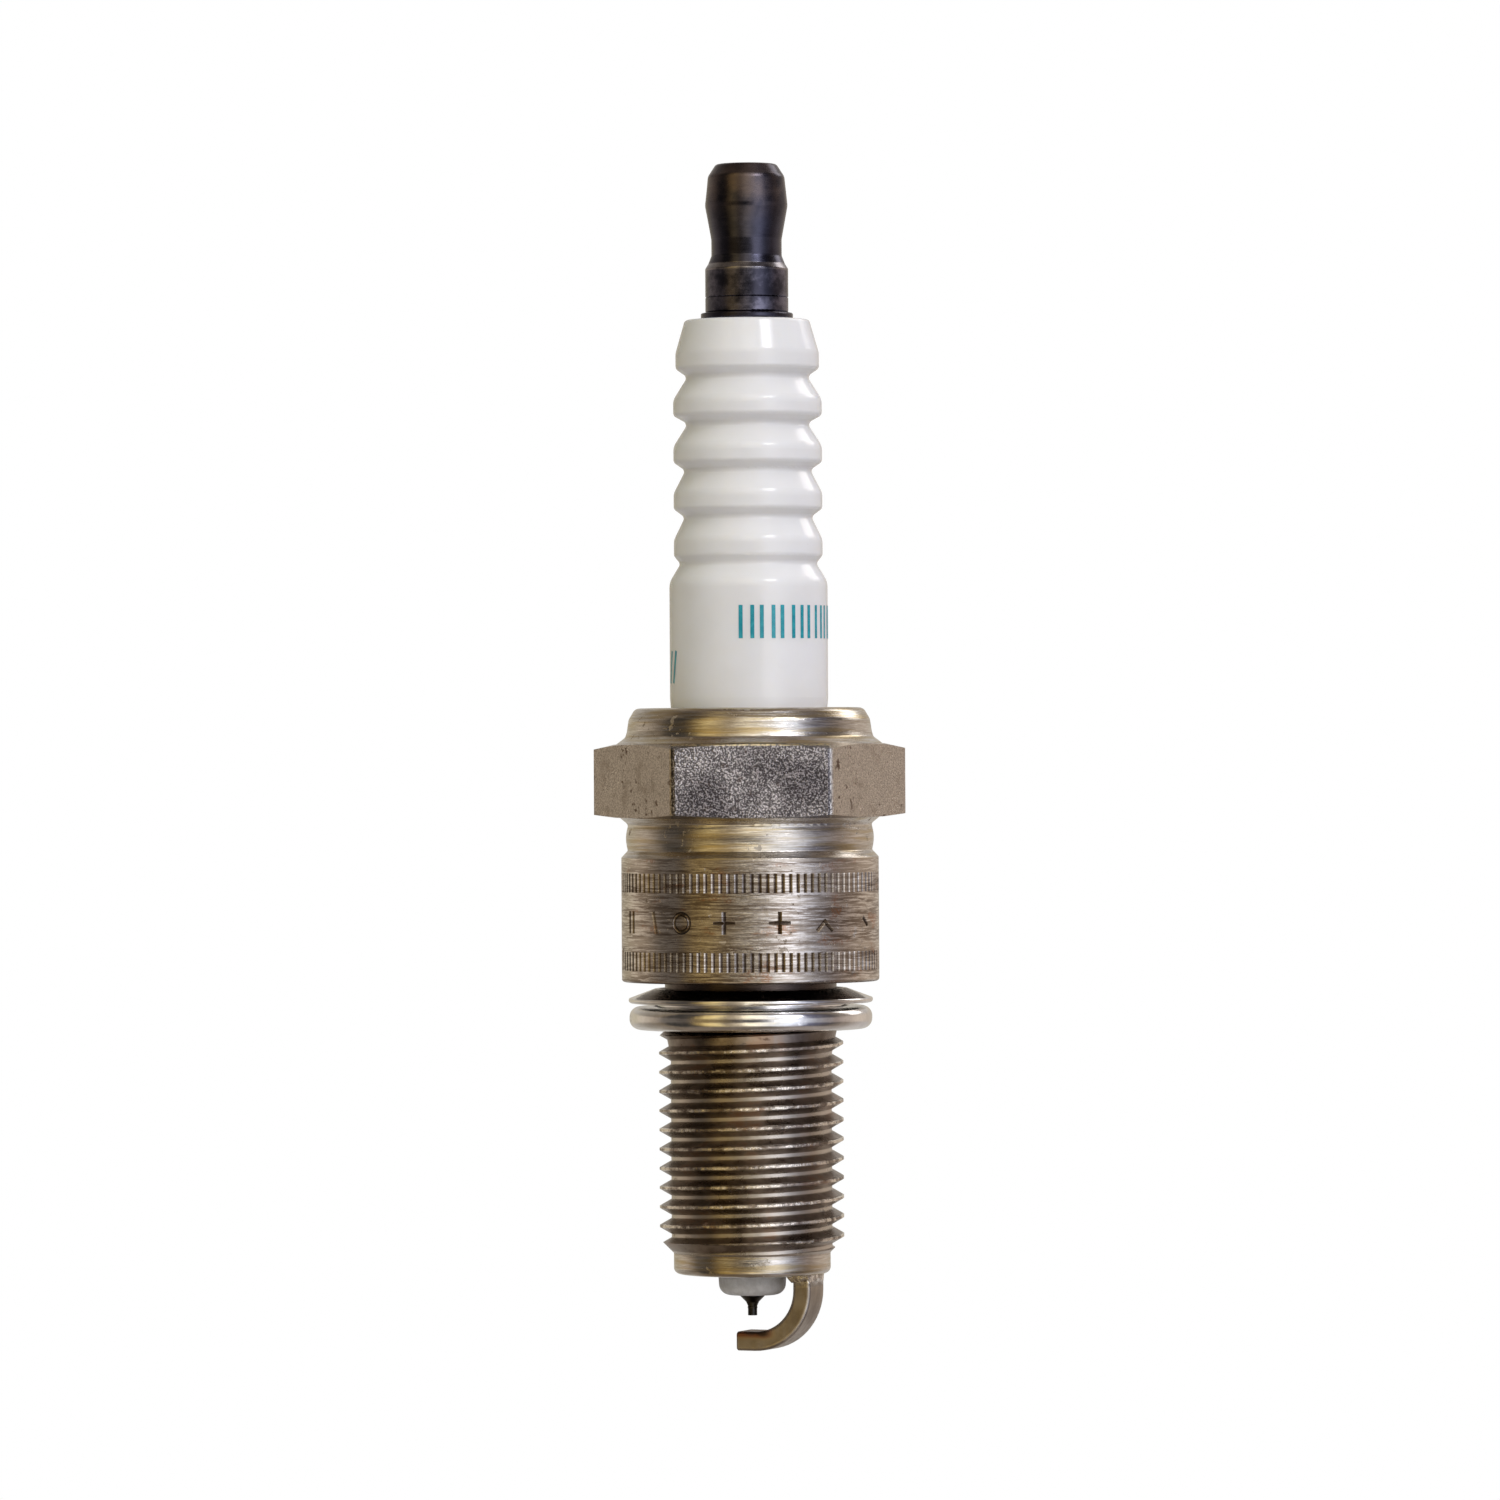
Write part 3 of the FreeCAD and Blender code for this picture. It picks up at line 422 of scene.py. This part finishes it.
# ------------------------------------------------------------------ printed marks on the glaze
def curved_stroke(mesh, points, width, z_of, angle_of):
    """Adds a flat stroke through 2-D points, wrapped on the ceramic, as a closed sliver of ink."""
    low, high = PRINT_R + INK_LIFT, PRINT_R + INK_TOP
    across = []
    for k, (u, v) in enumerate(points):
        before = points[max(k - 1, 0)]
        after = points[min(k + 1, len(points) - 1)]
        run = Vector((after[0] - before[0], after[1] - before[1])).normalized()
        across.append((Vector((u, v)), Vector((-run.y, run.x)) * width / 2))
    rings = []
    for centre, side in across:
        ring = []
        corners = ((centre - side, low), (centre + side, low), (centre + side, high), (centre - side, high))
        for spot, radius in corners:
            angle = angle_of(spot.x)
            ring.append(mesh.verts.new((radius * math.sin(angle), -radius * math.cos(angle), z_of(spot.y))))
        rings.append(ring)
    for one, two in zip(rings, rings[1:]):
        for k in range(4):
            mesh.faces.new((one[k], one[(k + 1) % 4], two[(k + 1) % 4], two[k]))
    mesh.faces.new(rings[0][::-1])
    mesh.faces.new(rings[-1])


def printed(name, strokes, start_angle, base_z, width):
    """A piece of print: strokes in millimetres, laid round the ceramic from an angle and a height."""
    mesh = bmesh.new()
    for points in strokes:
        dense = []
        for (u0, v0), (u1, v1) in zip(points, points[1:]):
            steps = max(1, int(math.hypot(u1 - u0, v1 - v0) / 0.2))
            dense += [(u0 + (u1 - u0) * k / steps, v0 + (v1 - v0) * k / steps) for k in range(steps)]
        dense.append(points[-1])
        curved_stroke(mesh, dense, width, lambda v: base_z + v * MM, lambda u: start_angle + u * MM / PRINT_R)
    bmesh.ops.recalc_face_normals(mesh, faces=mesh.faces)
    data = bpy.data.meshes.new(name)
    mesh.to_mesh(data)
    mesh.free()
    piece = bpy.data.objects.new(name, data)
    scene.collection.objects.link(piece)
    data.materials.append(INK)
    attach(piece, "plug")
    return piece


TALL = 2.15
PAIR_GAP = 0.62
STROKE_WIDTH = 0.26


def upright(u):
    return [[(u, 0), (u, TALL)]]


def pair(u):
    return upright(u) + upright(u + PAIR_GAP)


row = []
for place in (0, 3.6, 5.7):
    row += upright(place)
for place in (0.75, 2.15, 4.3, 6.4, 7.8):
    row += pair(place)
printed("print_marks_front", row, math.radians(-6.5), 22.25 * MM, STROKE_WIDTH)
slanted_pair = [[(0, 0), (0.45, 2.1)], [(-0.8, 0), (-0.35, 2.1)]]
printed("print_marks_side", slanted_pair, math.radians(-72), 19.4 * MM, STROKE_WIDTH)


# ------------------------------------------------------------------ floor
def floor():
    """White where the camera looks, pale where it lights the ceramic, and absent from reflections."""
    data = bpy.data.meshes.new("floor")
    size, z = 2.0, -0.075
    corners = [(-size, -size, z), (size, -size, z), (size, size, z), (-size, size, z)]
    data.from_pydata(corners, [], [(0, 1, 2, 3)])
    ground = bpy.data.objects.new("floor", data)
    scene.collection.objects.link(ground)
    s = Shader("pale_floor")
    tree = s.tree
    ray = s.add("ShaderNodeLightPath").outputs["Is Camera Ray"]
    bright = s.add("ShaderNodeEmission")
    bright.inputs["Color"].default_value = (1, 1, 1, 1)
    bright.inputs["Strength"].default_value = 1.0
    pale = s.add("ShaderNodeBsdfDiffuse")
    pale.inputs["Color"].default_value = (0.52, 0.51, 0.52, 1)
    clear = s.add("ShaderNodeBsdfTransparent")
    seen = s.add("ShaderNodeMixShader")
    tree.links.new(s.add("ShaderNodeLightPath").outputs["Is Glossy Ray"], seen.inputs[0])
    tree.links.new(pale.outputs[0], seen.inputs[1])
    tree.links.new(clear.outputs[0], seen.inputs[2])
    both = s.add("ShaderNodeMixShader")
    tree.links.new(ray, both.inputs[0])
    tree.links.new(seen.outputs[0], both.inputs[1])
    tree.links.new(bright.outputs[0], both.inputs[2])
    out = next(n for n in tree.nodes if n.type == "OUTPUT_MATERIAL")
    tree.links.new(both.outputs[0], out.inputs["Surface"])
    data.materials.append(s.material)


floor()


# ------------------------------------------------------------------ studio
def studio():
    """A world with no lamps: one picture for mirrors, a softer one for diffuse rays, white for the camera."""
    world = bpy.data.worlds.new("studio")
    scene.world = world
    world.use_nodes = True
    s = Shader.of_world(world)
    x, y, z = s.split(s.add("ShaderNodeTexCoord").outputs["Generated"])
    azimuth = s.math("ARCTAN2", x, s.math("MULTIPLY", y, -1.0))
    turn = s.math("ADD", s.math("DIVIDE", azimuth, 2 * math.pi), 0.5)
    rise = s.math("MULTIPLY", s.math("ARCSINE", z), 180 / math.pi)
    degrees = s.math("MULTIPLY", azimuth, 180 / math.pi)

    gain = 1.8

    def horizon(stops):
        return s.ramp(turn, [((a / 360) + 0.5, tuple(c / gain for c in colour)) for a, colour in stops])

    # what upright walls mirror, then what slanted and rounded ones mirror
    level = horizon([(-180, (0.55, 0.50, 0.42)), (-147, (0.50, 0.44, 0.33)), (-125, (0.62, 0.53, 0.43)),
                     (-108, (0.45, 0.37, 0.29)), (-92, (0.17, 0.145, 0.125)), (-66, (0.10, 0.082, 0.068)),
                     (-50, (0.22, 0.15, 0.065)), (-30, (0.22, 0.16, 0.08)), (-16, (0.10, 0.08, 0.065)),
                     (-6, (0.08, 0.075, 0.075)), (5, (0.14, 0.13, 0.128)), (15, (0.38, 0.365, 0.37)),
                     (24, (1.55, 1.52, 1.55)), (38, (1.55, 1.56, 1.68)), (52, (0.66, 0.68, 0.78)),
                     (66, (0.34, 0.33, 0.36)), (88, (0.31, 0.245, 0.215)), (104, (0.47, 0.385, 0.33)),
                     (122, (0.60, 0.50, 0.415)), (150, (0.55, 0.47, 0.40)), (180, (0.55, 0.50, 0.42))])
    slanted = horizon([(-180, (0.6, 0.57, 0.53)), (-140, (0.36, 0.32, 0.27)), (-98, (0.20, 0.155, 0.11)),
                       (-88, (0.05, 0.045, 0.04)), (-62, (0.05, 0.042, 0.035)), (-54, (0.32, 0.22, 0.09)),
                       (-44, (0.78, 0.58, 0.24)), (-34, (0.85, 0.66, 0.32)), (-25, (0.34, 0.27, 0.18)),
                       (-13, (0.58, 0.47, 0.33)), (-4, (1.36, 1.20, 0.88)), (10, (1.32, 1.21, 1.03)),
                       (20, (1.02, 1.00, 0.98)), (27, (1.00, 1.01, 1.05)), (41, (1.02, 1.06, 1.18)),
                       (50, (0.62, 0.64, 0.76)), (60, (0.13, 0.13, 0.19)), (86, (0.10, 0.085, 0.08)),
                       (104, (0.26, 0.21, 0.17)), (140, (0.50, 0.45, 0.42)), (180, (0.6, 0.57, 0.53))])
    off_level = s.span(s.math("ABSOLUTE", rise), 5, 16)
    mirror = s.mix(off_level, level, slanted)
    steep = horizon([(-180, (0.17, 0.135, 0.10)), (-120, (0.20, 0.155, 0.115)), (-40, (0.16, 0.125, 0.095)),
                     (30, (0.19, 0.155, 0.13)), (80, (0.32, 0.275, 0.25)), (140, (0.32, 0.275, 0.25)),
                     (180, (0.17, 0.135, 0.10))])
    mirror = s.mix(s.span(rise, 42, 64), mirror, steep)
    mirror = s.mix(s.span(rise, -36, -54), mirror, steep)

    def window(mid, half, soft, low_edge, high_edge, edge_soft, colour):
        across = s.band(degrees, mid - half, mid + half, soft)
        up = s.band(rise, low_edge, high_edge, edge_soft)
        return s.mix(s.math("MULTIPLY", across, up), (0, 0, 0), tuple(c / gain for c in colour))

    box = window(36, 9, 7, 30, 40, 6, (8.5, 8.5, 9.0))
    panel = window(128, 12, 4, 18, 44, 5, (2.2, 2.1, 2.0))
    mirror = s.mix(1.0, mirror, box, "ADD")
    mirror = s.mix(1.0, mirror, panel, "ADD")

    soft = horizon([(-180, (0.04, 0.04, 0.06)), (-140, (0.09, 0.09, 0.06)), (-100, (0.09, 0.09, 0.04)),
                    (-70, (0.16, 0.16, 0.03)), (-45, (0.42, 0.41, 0.24)), (-20, (1.18, 1.12, 0.99)),
                    (0, (1.92, 1.87, 1.92)), (30, (1.26, 1.34, 1.55)), (60, (0.64, 0.69, 0.81)),
                    (100, (0.97, 0.95, 1.00)), (140, (0.75, 0.72, 0.82)), (180, (0.12, 0.12, 0.13))])

    path = s.add("ShaderNodeLightPath").outputs
    seen = s.mix(path["Is Diffuse Ray"], mirror, soft)
    back = s.add("ShaderNodeBackground")
    s.plug(back.inputs["Color"], seen)
    back.inputs["Strength"].default_value = gain
    white = s.add("ShaderNodeBackground")
    white.inputs["Color"].default_value = (1, 1, 1, 1)
    white.inputs["Strength"].default_value = 1.0
    both = s.add("ShaderNodeMixShader")
    s.plug(both.inputs[0], path["Is Camera Ray"])
    s.tree.links.new(back.outputs[0], both.inputs[1])
    s.tree.links.new(white.outputs[0], both.inputs[2])
    out = s.add("ShaderNodeOutputWorld")
    s.tree.links.new(both.outputs[0], out.inputs["Surface"])


studio()
scene.view_settings.view_transform = "Standard"
scene.view_settings.look = "None"


# ------------------------------------------------------------------ camera
LENS = 191.7
TARGET = Vector((0.04 * MM, 0, 15.04 * MM))
TO_EYE = Vector((-6.9 * MM, -519.95 * MM, 0))
ROLL = math.radians(-0.33)


def camera():
    data = bpy.data.cameras.new("photo_camera")
    data.sensor_width = 36.0
    data.lens = LENS
    data.clip_start, data.clip_end = 0.01, 20
    eye = bpy.data.objects.new("photo_camera", data)
    scene.collection.objects.link(eye)
    place = TARGET + TO_EYE
    look = (TARGET - place).to_track_quat("-Z", "Y").to_matrix().to_4x4()
    roll = Matrix.Rotation(ROLL, 4, "Z")
    eye.matrix_world = Matrix.Translation(place) @ look @ roll
    scene.camera = eye


camera()
